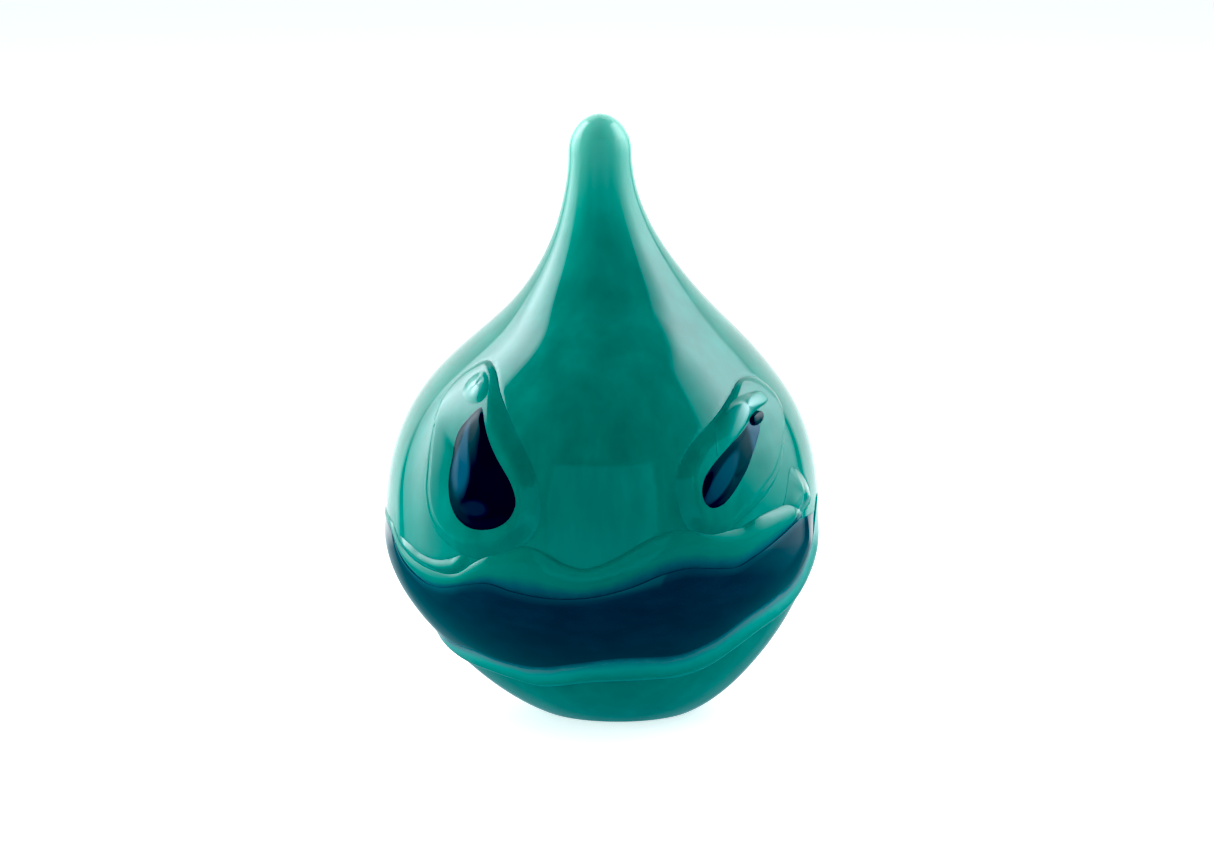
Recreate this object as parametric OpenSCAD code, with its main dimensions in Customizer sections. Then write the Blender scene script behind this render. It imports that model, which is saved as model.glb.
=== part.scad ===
// Glass drop figurine: a drop of solid teal glass with two raised eyes and a wavy navy mouth band.
// Frame: millimetres, +Z up, origin in the middle of the ground flat, the face looks towards -Y.
// Places on the drop are given as an azimuth (0 in front, positive to the right) and a height.

/* [Drop] */
// Height from the ground flat to the tip, mm
drop_h = 83; // [70:0.5:100]
// Radius at the widest level, mm
belly_r = 30; // [24:0.5:36]
// Height of the widest level, mm
belly_z = 26; // [20:0.5:32]
// Radius of the ground flat, mm
flat_r = 11; // [8:0.5:16]
// Radius where the round belly turns into the hollow neck, mm
shoulder_r = 16.2; // [12:0.2:20]
// Height where the round belly turns into the hollow neck, mm
shoulder_z = 54.4; // [50:0.2:60]
// Radius of the drawn-out tip, mm
tip_r = 4.4; // [3:0.1:6]
// Height at which the tip starts to round over, mm
tip_z = 77.6; // [74:0.2:80]

/* [Mouth] */
// Depth to which the navy band is sunk in the drop, mm
band_sink = 1.6; // [0.8:0.1:3]
// Height that the band's middle stands proud of the drop, mm
band_crown = 0.5; // [0:0.1:1.5]
// Depth to which the lips are sunk in the drop, mm
lip_sink = 1.2; // [0.6:0.1:2]
// Height of the upper lip's roll, mm
upper_lip_crown = 0.9; // [0.3:0.1:2]
// Height of the lower lip's roll, mm
lower_lip_crown = 0.6; // [0.3:0.1:2]

/* [Eyes] */
// Depth to which an eye pad is sunk in the drop, mm
pad_sink = 1.0; // [0.5:0.1:2]
// Height of an eye pad's mound, mm
pad_crown = 1.6; // [0.5:0.1:3]
// Height of a pupil's rim over the drop, mm
pupil_base = 1.1; // [0.5:0.1:2]
// Height that a pupil's middle stands over its rim, mm
pupil_crown = 0.8; // [0.2:0.1:1.5]
// Depth to which a pupil is sunk in its pad, mm
pupil_sink = 0.9; // [0.3:0.1:1]
// Height that a curl of glass stands over the rim of its pad, mm
curl_crown = 1.3; // [0.8:0.05:1.6]

/* [Hidden] */

teal = [0.0, 0.48, 0.42];
light_teal = [0.25, 0.66, 0.58];
navy = [0.02, 0.14, 0.26];
ink = [0.01, 0.03, 0.09];

// Facets round the drop, and along each of its three curves and its tip
around = 72;
along = 13;
tip_steps = 6;

// ---- curves ----

function bezier(a, b, c, d, t) =
    pow(1 - t, 3) * a + 3 * pow(1 - t, 2) * t * b + 3 * (1 - t) * t * t * c + pow(t, 3) * d;

// Slope of a table of [x, y] at entry i, from its neighbours
function slope(s, i) =
    let (a = max(i - 1, 0), b = min(i + 1, len(s) - 1))
    (s[b][1] - s[a][1]) / (s[b][0] - s[a][0]);

// Smooth curve through a table of [x, y]
function smooth(s, x, i = 0) =
    x <= s[0][0] ? s[0][1]
    : i >= len(s) - 1 ? s[len(s) - 1][1]
    : x > s[i + 1][0] ? smooth(s, x, i + 1)
    : let (
        w = s[i + 1][0] - s[i][0],
        t = (x - s[i][0]) / w,
        h = t * t * (3 - 2 * t)
    )
    s[i][1] * (1 - h) + s[i + 1][1] * h
    + w * slope(s, i) * t * (1 - t) * (1 - t)
    - w * slope(s, i + 1) * t * t * (1 - t);

// ---- the drop's profile, as [radius, height] ----

function profile(n) = concat(
    [for (i = [0 : n])
        bezier([flat_r, 0], [flat_r + 9, 4], [belly_r, belly_z - 8.5], [belly_r, belly_z], i / n)],
    [for (i = [1 : n])
        bezier([belly_r, belly_z], [belly_r, belly_z + 6], [belly_r + 0.5, belly_z + 17.5],
               [shoulder_r, shoulder_z], i / n)],
    [for (i = [1 : n])
        bezier([shoulder_r, shoulder_z], [shoulder_r - 4.3, shoulder_z + 3.3], [tip_r, tip_z - 10],
               [tip_r, tip_z], i / n)],
    [for (i = [1 : tip_steps])
        [tip_r * cos(87 * i / tip_steps), tip_z + (drop_h - tip_z) * sin(90 * i / tip_steps)]]
);

rows = profile(along);
fine = [for (p = profile(40)) [p[1], p[0]]];

function radius(z) = lookup(z, fine);

// Sideways lean of the hand-drawn drop at a height
lean = [[0, 0], [8, -1.1], [22, -2.1], [46, -1.8], [55, -1.1], [60, -1.2], [72, -2.3], [84, -2.5]];

// Point on the drop at an azimuth and a height, moved out along the surface's normal
function on_drop(az, z, out = 0) =
    let (
        r = radius(z),
        k = (radius(z + 0.5) - radius(z - 0.5)),
        m = sqrt(1 + k * k),
        q = r + out / m
    )
    [smooth(lean, z) + q * sin(az), -q * cos(az), z - out * k / m];

// ---- solids laid on the drop ----

// Faces between two rings of n points that start at vertices a and b
function belt(a, b, n) = [for (j = [0 : n - 1]) [a + j, a + (j + 1) % n, b + (j + 1) % n, b + j]];

function turned(faces) = [for (f = faces) [for (i = [len(f) - 1 : -1 : 0]) f[i]]];

// Mound on a closed outline of [azimuth, height] offsets from mid, its rim base mm out from the drop
module mound(mid, outline, crown, sink, steps = 4, base = 0) {
    n = len(outline);
    levels = [for (i = [1 : steps]) sin(90 * i / steps)];
    top = [for (f = levels, p = outline)
        on_drop(mid[0] + f * p[0], mid[1] + f * p[1],
                base + crown * sqrt(1 - f * f * 0.999) + 0.02)];
    under = [for (f = levels, p = outline)
        on_drop(mid[0] + f * p[0], mid[1] + f * p[1], base - sink * sqrt(1 - f * f * f * 0.9))];
    m = steps * n;
    faces_top = concat(
        [for (j = [0 : n - 1]) [2 * m, j, (j + 1) % n]],
        [for (i = [0 : steps - 2], f = belt(i * n, (i + 1) * n, n)) [f[0], f[3], f[2], f[1]]]
    );
    faces_under = concat(
        [for (j = [0 : n - 1]) [2 * m + 1, m + (j + 1) % n, m + j]],
        [for (i = [0 : steps - 2], f = belt(m + i * n, m + (i + 1) * n, n)) f]
    );
    side = [for (f = belt((steps - 1) * n, m + (steps - 1) * n, n)) [f[0], f[3], f[2], f[1]]];
    polyhedron(
        concat(top, under,
               [on_drop(mid[0], mid[1], base + crown), on_drop(mid[0], mid[1], base - sink)]),
        concat(faces_top, faces_under, side),
        convexity = 6
    );
}

// Fades a trail's roll out over the last few degrees of either end
function ease(a, from, to) = sin(90 * min(1, (a - from) / 9, (to - a) / 9));

// Trail laid along the drop between a lower and an upper edge, each a table of [azimuth, height]
module trail(low, high, from, to, crown, sink, steps, across = 6) {
    k = across + 1;
    azs = [for (i = [0 : steps]) from + (to - from) * i / steps];
    pts = [for (a = azs)
        let (z0 = smooth(low, a), z1 = smooth(high, a))
        for (p = concat(
            [for (j = [0 : across])
                on_drop(a, z0 + (z1 - z0) * j / across,
                        crown * ease(a, from, to) * sin(180 * j / across) + 0.02)],
            [for (j = [across : -1 : 0])
                on_drop(a, z0 + (z1 - z0) * j / across, -sink)]
        )) p];
    m = 2 * k;
    sides = [for (i = [0 : steps - 1], f = belt(i * m, (i + 1) * m, m)) f];
    ends = concat(
        [for (j = [0 : across - 1]) [j, j + 1, m - 2 - j, m - 1 - j]],
        [for (j = [0 : across - 1])
            [steps * m + j, steps * m + m - 1 - j, steps * m + m - 2 - j, steps * m + j + 1]]
    );
    polyhedron(pts, concat(sides, turned(ends)), convexity = 6);
}

function area(p) =
    let (n = len(p)) [for (i = [0 : n - 1]) p[i][0] * p[(i + 1) % n][1] - p[(i + 1) % n][0] * p[i][1]]
    * [for (i = [0 : n - 1]) 1];

// Smooth closed outline through places of [azimuth, height], clockwise, as offsets from its middle
function loop(mid, places, parts) =
    let (n = len(places), p = area(places) > 0 ? [for (i = [n - 1 : -1 : 0]) places[i]] : places)
    [for (i = [0 : n - 1], k = [0 : parts - 1])
        let (a = p[(i + n - 1) % n], b = p[i], c = p[(i + 1) % n], d = p[(i + 2) % n], t = k / parts)
        0.5 * (2 * b + (c - a) * t + (2 * a - 5 * b + 4 * c - d) * t * t
               + (3 * b - a - 3 * c + d) * t * t * t) - mid];

// ---- the raw shapes, before each is fitted to its neighbours ----

module drop() {
    n = len(rows);
    pts = [for (p = rows, j = [0 : around - 1])
        let (az = 360 * j / around)
        [smooth(lean, p[1]) + p[0] * sin(az), -p[0] * cos(az), p[1]]];
    polyhedron(
        pts,
        concat(
            [[for (j = [0 : around - 1]) j]],
            [for (i = [0 : n - 2], f = belt(i * around, (i + 1) * around, around)) turned([f])[0]],
            [[for (j = [around - 1 : -1 : 0]) (n - 1) * around + j]]
        ),
        convexity = 4
    );
}

band_high = [[-120, 22.5], [-111, 25.4], [-98, 26.8], [-86, 27.2], [-74, 26.2], [-66, 22.6],
             [-57, 20.8], [-49, 20.6], [-38.5, 21.8], [-31.4, 22.4], [-24.3, 21.6], [-14.6, 21],
             [-6.3, 21.1], [0, 21.6], [8, 22.8], [16, 24.4], [23, 25], [30, 24.6], [37, 24.4],
             [44, 25.6], [53, 27.3], [62, 28.7], [78, 28.8]];
band_low = [[-120, 18.5], [-111, 14.8], [-98, 12.5], [-84, 11.7], [-66, 11.3], [-51, 11.2],
            [-39, 10.3], [-29, 9.9], [-21, 10.1], [-10, 11], [4, 11.9], [22, 11.9], [30, 12.8],
            [37.5, 14.4], [45, 16.6], [57, 18.9], [66, 20.4], [71, 22.5], [78, 25.5]];
upper_lip_high = [[-104, 27.9], [-92, 28.2], [-80, 28], [-73, 27.3], [-65, 24.6], [-57, 23.3],
                  [-48, 22.8], [-42, 23.2], [-36, 24.9], [-31, 26.4], [-26, 27.3], [-21.5, 28.1],
                  [-17, 27.9], [-10, 26.1], [-4.8, 25.4], [0, 26], [5, 27.3], [12, 29.3],
                  [17.5, 30.2], [22, 30.3], [30, 29.7], [38, 29.8], [45, 30.9], [56, 31.6],
                  [66, 31.4]];
lower_lip_low = [[-116, 16.3], [-108, 12.9], [-98, 11], [-84, 9.9], [-70, 8.8], [-60, 8.2],
                 [-50, 7.9], [-41, 7.5], [-28.6, 6.7], [-19.5, 7.1], [-11.8, 7.7], [-3.7, 8.1],
                 [14.7, 8.3], [26.3, 8.4], [36.8, 9.6], [44.8, 11.6], [53, 13.7], [64, 15.3],
                 [76, 17.2], [82, 20], [88, 25]];
lower_lip_high = [[-116, 17.2], [-108, 14], [-98, 13.3], [-84, 12.5], [-66, 12.1], [-51, 12],
                  [-39, 11.1], [-29, 10.7], [-21, 10.9], [-10, 11.8], [4, 12.7], [22, 12.7],
                  [30, 13.6], [37.5, 15.2], [45, 17.4], [57, 19.7], [66, 20.5], [72, 23.5],
                  [78, 29], [82, 30.5], [88, 29]];
bead_high = [[-68, 26.5], [-60, 25.6], [-55.5, 24.9], [-49, 24.6], [-43, 25.2], [-39, 26],
             [-36, 25.6]];
bead_low = [[-68, 26.1], [-62, 24.7], [-56, 23.8], [-50, 23.1], [-43.5, 22.9], [-39, 24],
            [-36, 25.3]];

module raw_band() trail(band_low, band_high, -120, 77, band_crown, band_sink, 66);

module raw_upper_lip()
    trail([for (p = band_high) [p[0], p[1] - 0.8]], upper_lip_high,
          -104, 66, upper_lip_crown, lip_sink, 56);

module raw_lower_lip()
    trail(lower_lip_low, lower_lip_high, -116, 88, lower_lip_crown, lip_sink, 66);

module raw_left_pad()
    mound([-38.5, 37.5],
          loop([-38.5, 37.5], [[-54.5, 50.6], [-60.2, 48.9], [-61.4, 46.2], [-57.6, 41.9],
                [-54.8, 36.7], [-53.2, 33.2], [-49.5, 29.5], [-43, 26.9], [-35.7, 25.8],
                [-28.3, 26.1], [-21.4, 27.7], [-17, 30.3], [-16, 33.3], [-17.9, 37.3],
                [-23, 41.1], [-30.5, 44.9], [-37.7, 47.6], [-43, 49.3], [-48.8, 50.4]], 2),
          pad_crown, pad_sink);

module raw_right_pad()
    mound([41, 38],
          loop([41, 38], [[63, 48.1], [67.6, 46.3], [66.4, 43.9], [61.6, 40.9], [57.8, 38.4],
                [53.2, 35.7], [47.2, 33.4], [41.7, 31.7], [35.9, 30], [31, 28.8], [25.8, 29],
                [21.9, 30.7], [20, 33.2], [19.3, 35.6], [19.9, 37.6], [22.5, 39.9], [27.3, 42.1],
                [36.2, 44.6], [45.6, 46.9], [53.8, 48.3]], 2),
          pad_crown, pad_sink);

// A pupil lies in its pad's mound and stands a little proud of it
module raw_left_pupil()
    mound([-34, 36],
          loop([-34, 36], [[-40.9, 45.1], [-43.4, 43.7], [-45.1, 42.3], [-45.4, 40.7],
                [-44.7, 38.9], [-44.4, 36.9], [-43.8, 35], [-42.3, 32.9], [-39.6, 31.1],
                [-35.6, 30], [-31.1, 29.9], [-26.8, 30.5], [-23.6, 31.8], [-22.2, 33.6],
                [-22.9, 35.2], [-24.9, 36.8], [-27.6, 38.3], [-30.5, 39.8], [-33.5, 41.5],
                [-36.6, 43.4], [-38.9, 44.7]], 1),
          pupil_crown, pupil_sink, 4, pupil_base);

module raw_right_pupil()
    mound([36, 37],
          loop([36, 37], [[48.8, 43], [50.4, 42.3], [47.6, 40.6], [44.6, 39], [41.8, 37.4],
                [38.7, 35.9], [35.2, 34.3], [32, 33.2], [28.8, 32.9], [26.6, 33.7], [26, 35.3],
                [27.5, 37.1], [31.5, 38.9], [37.3, 40.7], [42.6, 42], [46.6, 43]], 2),
          pupil_crown, pupil_sink, 4, pupil_base);

module raw_right_dot()
    mound([50.2, 43.2],
          loop([50.2, 43.2], [[53.6, 43.7], [52.4, 42.9], [50, 42.5], [47, 42.5], [46.9, 43.3],
                [49.2, 43.9], [51.7, 44.1]], 2),
          0.8, 0.9, 3, pupil_base);

module raw_left_curl()
    mound([-45.5, 48.1],
          loop([-45.5, 48.1], [[-48.6, 50], [-52.6, 49.4], [-54, 48.2], [-52.1, 46.9],
                [-47.4, 46.1], [-42.7, 46], [-38.6, 46.5], [-36.4, 47.5], [-38.6, 48.9],
                [-43.4, 49.8]], 2),
          curl_crown, 0.9, 4, pupil_base);

module raw_right_curl()
    mound([46.5, 44.6],
          loop([46.5, 44.6], [[58.7, 44.8], [59.8, 45.6], [57.9, 46.3], [53.3, 46.4],
                [47.4, 46.2], [43.3, 45.8], [39.8, 45.2], [35.3, 43.8], [32.5, 41.8],
                [31.8, 39.5], [34.9, 40], [38.4, 41], [43.8, 42.4], [48.3, 43.6], [53, 44.3]], 2),
          curl_crown, 0.9, 4, pupil_base);

module raw_knob()
    mound([64, 32.3],
          loop([64, 32.3], [[62.3, 36.2], [66.8, 35], [70.9, 33.2], [72.9, 31.3], [68.9, 30.2],
                [62, 29.4], [56.8, 29], [54.6, 30.3], [56, 32.2], [58.2, 34.2], [60, 35.5]], 2),
          1.2, 1, 3);

// Leaf lying on its side, its point towards the back
module raw_bead() trail(bead_low, bead_high, -68, -36, 0.65, 0.8, 14, 4);

// Keeps the result of the cuts inside it as one closed faceted solid
module fitted() resize([0, 0, 0]) children();

// ---- the pieces ----

module core_drop()
    color(teal)
        fitted()
            difference() {
                drop();
                raw_band();
                raw_upper_lip();
                raw_lower_lip();
                raw_left_pad();
                raw_right_pad();
                raw_left_pupil();
                raw_right_pupil();
                raw_right_dot();
                raw_left_curl();
                raw_right_curl();
                raw_knob();
                raw_bead();
            }

module mouth_band()
    color(navy)
        raw_band();

module upper_lip()
    color(light_teal)
        fitted()
            difference() {
                raw_upper_lip();
                raw_band();
                raw_left_pad();
                raw_right_pad();
                raw_knob();
                raw_bead();
            }

module lower_lip()
    color(light_teal)
        fitted()
            difference() {
                raw_lower_lip();
                raw_band();
                raw_knob();
            }

module left_eye_pad()
    color(teal)
        fitted()
            difference() {
                raw_left_pad();
                raw_left_pupil();
                raw_left_curl();
            }

module left_pupil()
    color(ink)
        raw_left_pupil();

module left_eye_curl()
    color(light_teal)
        raw_left_curl();

module right_eye_pad()
    color(teal)
        fitted()
            difference() {
                raw_right_pad();
                raw_right_pupil();
                raw_right_dot();
                raw_right_curl();
            }

module right_pupil()
    color(ink)
        fitted()
            difference() {
                raw_right_pupil();
                raw_right_dot();
                raw_right_curl();
            }

module right_eye_curl()
    color(light_teal)
        raw_right_curl();

module right_pupil_dot()
    color(ink)
        fitted()
            difference() {
                raw_right_dot();
                raw_right_curl();
            }

module right_mouth_knob()
    color(teal)
        fitted()
            difference() {
                raw_knob();
                raw_band();
                raw_right_pad();
            }

module left_mouth_bead()
    color(light_teal)
        fitted()
            difference() {
                raw_bead();
                raw_band();
                raw_left_pad();
            }

core_drop();
mouth_band();
upper_lip();
lower_lip();
left_eye_pad();
left_pupil();
left_eye_curl();
right_eye_pad();
right_pupil();
right_eye_curl();
right_pupil_dot();
right_mouth_knob();
left_mouth_bead();
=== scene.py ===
"""Glass drop figurine: a solid teal drop with two raised eyes and a wavy navy mouth, all of fused glass.

Lengths in the tables below are millimetres, and places on the drop are an azimuth (0 in front, positive to the
right, in degrees) and a height. A piece starts as a primitive, is cut up in edit mode, gets its thickness from a
modifier that is applied, and is then laid on the drop point by point, because every piece of fused glass follows
a doubly curved surface that no primitive has.
"""

import math

import bpy
import numpy as np
from mathutils import Matrix, Vector


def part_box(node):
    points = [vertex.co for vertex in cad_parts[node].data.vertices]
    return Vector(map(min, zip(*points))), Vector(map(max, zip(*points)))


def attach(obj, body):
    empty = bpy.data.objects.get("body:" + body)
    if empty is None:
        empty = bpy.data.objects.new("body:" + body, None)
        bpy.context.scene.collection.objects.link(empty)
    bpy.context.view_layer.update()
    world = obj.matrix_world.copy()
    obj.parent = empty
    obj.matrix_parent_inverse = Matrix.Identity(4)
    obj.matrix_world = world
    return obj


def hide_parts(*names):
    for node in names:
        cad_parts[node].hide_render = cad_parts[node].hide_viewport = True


bl_info = {
    "name": "Glass drop figurine",
    "version": (1, 0, 0),
    "blender": (4, 5, 0),
    "location": "3D View > Sidebar > Glass Drop",
    "description": "Models a fused glass drop with eyes and a mouth round its packed frame",
    "category": "Object",
}

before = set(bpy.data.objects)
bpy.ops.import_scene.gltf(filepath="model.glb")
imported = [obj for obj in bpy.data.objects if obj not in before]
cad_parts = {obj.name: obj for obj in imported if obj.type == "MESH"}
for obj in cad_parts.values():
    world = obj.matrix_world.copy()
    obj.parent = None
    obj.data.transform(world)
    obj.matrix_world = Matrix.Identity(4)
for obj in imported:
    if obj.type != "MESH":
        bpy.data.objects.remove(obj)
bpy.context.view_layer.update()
MM = 0.001
CORE_LOW, CORE_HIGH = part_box("core_drop")
TALL = CORE_HIGH[2] / MM
BELLY = (CORE_HIGH[1] - CORE_LOW[1]) / 2 / MM
FLAT = 11  # radius of the ground flat
WIDEST = 26  # height at which the belly is widest
SHOULDER = (16.2, 54.4)  # radius and height where the round belly turns into the hollow neck
NECK, NECK_TOP = 4.4, 77.6  # the neck's radius, and the height where it rounds over into the tip
MM_A_DEGREE = 0.5  # a degree round the belly is about half a millimetre
SHARP = math.radians(50)  # edges that turn more than this stay crisp


# ---- colour ----

def linear(hex_colour, alpha=1.0):
    """An sRGB hex colour as linear light."""
    parts = [int(hex_colour[i:i + 2], 16) / 255 for i in (1, 3, 5)]
    return [c / 12.92 if c <= 0.04045 else ((c + 0.055) / 1.055) ** 2.4 for c in parts] + [alpha]


BLACK, WHITE = (0, 0, 0, 1), (1, 1, 1, 1)


def grey(level):
    """A linear grey."""
    return (level, level, level, 1)


# ---- curves and places on the drop ----

def flow(table):
    """A smooth curve through a table of (x, y), flat beyond its ends."""
    xs, ys = (np.array(c, float) for c in zip(*table))
    ahead, behind = np.minimum(np.arange(len(xs)) + 1, len(xs) - 1), np.maximum(np.arange(len(xs)) - 1, 0)
    slopes = (ys[ahead] - ys[behind]) / (xs[ahead] - xs[behind])

    def at(x):
        x = np.clip(np.asarray(x, float), xs[0], xs[-1])
        i = np.clip(np.searchsorted(xs, x) - 1, 0, len(xs) - 2)
        w = xs[i + 1] - xs[i]
        t = (x - xs[i]) / w
        h = t * t * (3 - 2 * t)
        return (ys[i] * (1 - h) + ys[i + 1] * h
                + w * slopes[i] * t * (1 - t) ** 2 - w * slopes[i + 1] * t * t * (1 - t))

    return at


def step(x, low, high):
    """A soft step from 0 at low to 1 at high."""
    t = np.clip((np.asarray(x, float) - low) / (high - low), 0, 1)
    return t * t * (3 - 2 * t)


def bezier(a, b, c, d, n):
    """n points on a cubic curve from a to d, with b and c as its handles."""
    t = np.linspace(0, 1, n)[:, None]
    a, b, c, d = (np.array(p, float) for p in (a, b, c, d))
    return (1 - t) ** 3 * a + 3 * (1 - t) ** 2 * t * b + 3 * (1 - t) * t * t * c + t ** 3 * d


def drop_profile(n):
    """The drop's outline from the rim of its ground flat to its tip, as (radius, height)."""
    turn = np.linspace(0, math.pi / 2, n // 2)[1:, None]
    tip = np.hstack([NECK * np.cos(turn), NECK_TOP + (TALL - NECK_TOP) * np.sin(turn)])
    return np.vstack([
        bezier((FLAT, 0), (20, 4), (BELLY, 17.5), (BELLY, WIDEST), n),
        bezier((BELLY, WIDEST), (BELLY, 32), (30.5, 43.5), SHOULDER, n)[1:],
        bezier(SHOULDER, (11.9, 57.7), (NECK, 67.6), (NECK, NECK_TOP), n)[1:],
        tip,
    ])


def eased_profile():
    """The outline as (radius, height), with the turn from round belly to hollow neck eased over a few mm."""
    count, reach, spread = 1661, 150, 52  # in steps of 0.05 mm: the drop, and 7.5 mm and 2.6 mm of easing
    outline = drop_profile(160)
    z = np.linspace(0, TALL, count)
    r = np.interp(z, outline[:, 1], outline[:, 0])
    kernel = np.exp(-0.5 * (np.arange(-reach, reach + 1) / spread) ** 2)
    soft = np.convolve(np.pad(r, reach, mode="edge"), kernel / kernel.sum(), "valid")
    share = step(z, 42, 50) * (1 - step(z, 60, 68))
    return np.stack([r + (soft - r) * share, z], axis=1)


OUTLINE = eased_profile()
# Where the drop's axis stands at each height: negative, so the drop leans to the left
LEAN = flow([(0, 0), (8, -1.1), (22, -2.1), (46, -1.8), (55, -1.1), (60, -1.2), (72, -2.3), (84, -2.5)])


def radius(z):
    """The drop's radius at a height."""
    return np.interp(z, OUTLINE[:, 1], OUTLINE[:, 0])


def on_drop(az, z, out):
    """Points in metres at an azimuth and a height, moved out along the drop's normal."""
    az, z, out = np.broadcast_arrays(np.radians(az), np.asarray(z, float), np.asarray(out, float))
    k = radius(z + 0.5) - radius(z - 0.5)
    m = np.sqrt(1 + k * k)
    q = radius(z) + out / m
    return np.stack([LEAN(z) + q * np.sin(az), -q * np.cos(az), z - out * k / m], axis=-1) * MM


# ---- the maker's drawing: edges of the trails and outlines of the mounds ----

# The first and last azimuth of each trail, and its edges as (azimuth, height)
BAND_SPAN, UPPER_SPAN, LOWER_SPAN, BEAD_SPAN = (-120, 77), (-104, 66), (-116, 88), (-68, -36)

BAND_TOP = flow([(-120, 20.8), (-119, 22.1), (-116, 23.8), (-111, 25.4), (-98, 26.8), (-86, 27.2),
                 (-74, 26.2), (-66, 22.6), (-57, 20.8), (-49, 20.6),
                 (-38.5, 21.8), (-31.4, 22.4), (-24.3, 21.6), (-14.6, 21), (-6.3, 21.1),
                 (0, 21.6), (8, 22.8), (16, 24.4), (23, 25), (30, 24.6), (37, 24.4), (44, 25.6), (53, 27.3),
                 (62, 28.7), (78, 28.8)])
BAND_FOOT = flow([(-120, 20.2), (-119, 18.6), (-116, 16.6), (-111, 14.8), (-98, 12.5), (-84, 11.7),
                  (-66, 11.3), (-51, 11.2), (-39, 10.3), (-29, 9.9),
                  (-21, 10.1), (-10, 11), (4, 11.9), (22, 11.9), (30, 12.8), (37.5, 14.4),
                  (45, 16.6), (57, 18.9), (66, 20.4), (71, 22.5), (78, 25.5)])
UPPER_CREASE = flow([(-104, 27.9), (-92, 28.2), (-80, 28), (-73, 27.3), (-65, 24.6), (-57, 23.3), (-48, 22.8),
                     (-42, 23.2), (-36, 24.9), (-31, 26.4), (-26, 27.3), (-21.5, 28.1), (-17, 27.9),
                     (-10, 26.1), (-4.8, 25.4), (0, 26), (5, 27.3), (12, 29.3), (17.5, 30.2), (22, 30.3),
                     (30, 29.7), (38, 29.8), (45, 30.9), (56, 31.6), (66, 31.4)])
LOWER_CREASE = flow([(-116, 16.3), (-108, 12.9), (-98, 11), (-84, 9.9), (-70, 8.8), (-60, 8.2), (-50, 7.9),
                     (-41, 7.5), (-28.6, 6.7), (-19.5, 7.1), (-11.8, 7.7), (-3.7, 8.1), (14.7, 8.3),
                     (26.3, 8.4), (36.8, 9.6), (44.8, 11.6), (53, 13.7), (64, 15.3), (76, 17.2), (81, 19.8),
                     (85, 23), (87, 25.6), (88, 27.8)])
LOWER_INNER = flow([(-116, 17.2), (-108, 14), (-98, 12.5), (-84, 11.7), (-66, 11.3), (-51, 11.2), (-39, 10.3),
                    (-29, 9.9), (-21, 10.1), (-10, 11), (4, 11.9), (22, 11.9), (30, 12.8), (37.5, 14.4),
                    (45, 16.6), (57, 18.9), (66, 20.5), (72, 23.5), (78, 29), (82, 30.6), (85, 30.3),
                    (87, 29.5), (88, 28.2)])
BEAD_TOP = flow([(-68, 26.5), (-60, 25.6), (-55.5, 24.9), (-49, 24.6), (-43, 25.2), (-39, 26), (-36, 25.6)])
BEAD_FOOT = flow([(-68, 26.1), (-62, 24.7), (-56, 23.8), (-50, 23.1), (-43.5, 22.9), (-39, 24), (-36, 25.3)])


def loop(mid, places, n=128):
    """A smooth closed outline through places of (azimuth, height), as offsets from its middle."""
    p = np.array(places, float) - mid
    at = np.linspace(0, len(p), n, endpoint=False)
    i, t = at.astype(int), (at % 1)[:, None]
    a, b, c, d = (p[(i + k) % len(p)] for k in (-1, 0, 1, 2))
    return 0.5 * (2 * b + (c - a) * t + (2 * a - 5 * b + 4 * c - d) * t ** 2 + (3 * b - a - 3 * c + d) * t ** 3)


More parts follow.
